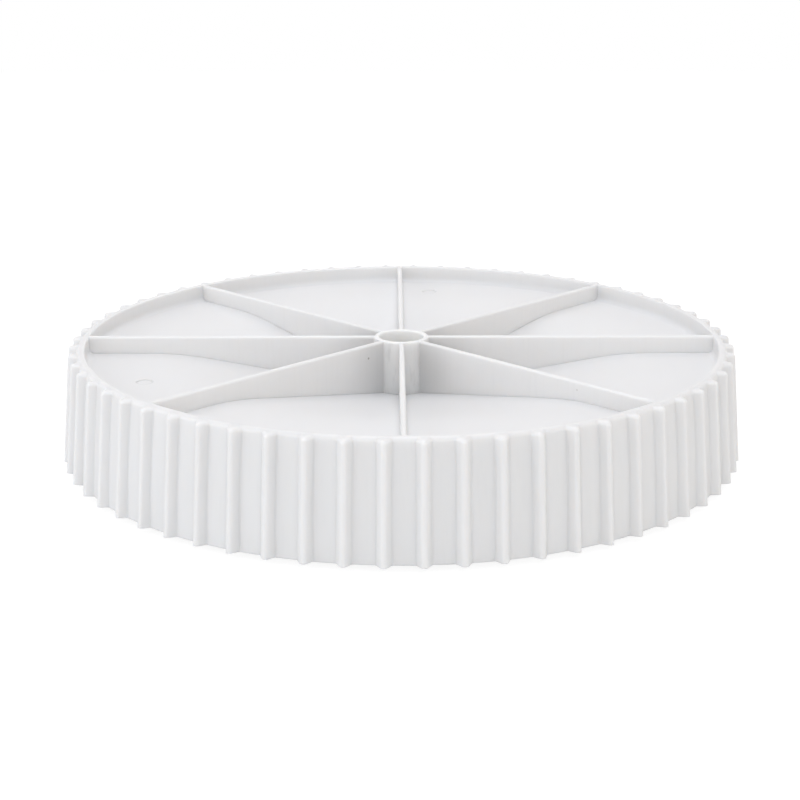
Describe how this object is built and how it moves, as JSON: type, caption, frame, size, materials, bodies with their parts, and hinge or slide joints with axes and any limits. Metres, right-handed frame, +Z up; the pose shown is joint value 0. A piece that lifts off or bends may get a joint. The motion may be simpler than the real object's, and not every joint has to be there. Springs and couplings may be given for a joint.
{
  "type": "lazy susan turntable",
  "caption": "Round white plastic turntable tray with a beaded rim, radial webs and a hub socket, turning freely on a ball bearing base with rubber feet.",
  "frame": {"origin": "on the turning axis, at the table plane under the feet", "axes": "+Z up along the turning axis, +X and +Y along two webs of the tray at rest"},
  "size_m": [0.305, 0.3046, 0.0516],
  "materials": {
    "tray_plastic": "satin",
    "base_plastic": "satin",
    "cage_nylon": "matte",
    "slip_nylon": "matte",
    "ball_steel": "polished",
    "zinc_steel": "zinc plated",
    "foot_rubber": "matte"
  },
  "bodies": {
    "base": {"base": "base_plastic", "foot_1": "foot_rubber", "foot_2": "foot_rubber", "foot_3": "foot_rubber", "foot_4": "foot_rubber", "foot_5": "foot_rubber", "foot_6": "foot_rubber", "retaining_washer": "zinc_steel", "retaining_screw": "zinc_steel"},
    "tray": {"tray": "tray_plastic", "slip_washer": "slip_nylon"},
    "bearing": {"ball_cage": "cage_nylon", "ball_01": "ball_steel", "ball_02": "ball_steel", "ball_03": "ball_steel", "ball_04": "ball_steel", "ball_05": "ball_steel", "ball_06": "ball_steel", "ball_07": "ball_steel", "ball_08": "ball_steel", "ball_09": "ball_steel", "ball_10": "ball_steel", "ball_11": "ball_steel", "ball_12": "ball_steel", "ball_13": "ball_steel", "ball_14": "ball_steel", "ball_15": "ball_steel", "ball_16": "ball_steel", "ball_17": "ball_steel", "ball_18": "ball_steel"}
  },
  "joints": [
    {"name": "tray_spin", "type": "hinge", "parent": "base", "child": "tray", "pos_m": [0, 0, 0.0281], "axis": [0, 0, 1], "continuous": true},
    {"name": "bearing_spin", "type": "hinge", "parent": "base", "child": "bearing", "pos_m": [0, 0, 0.012], "axis": [0, 0, 1], "continuous": true}
  ],
  "couplings": [
    {"joint": "bearing_spin", "follows": "tray_spin", "ratio": 0.5}
  ]
}
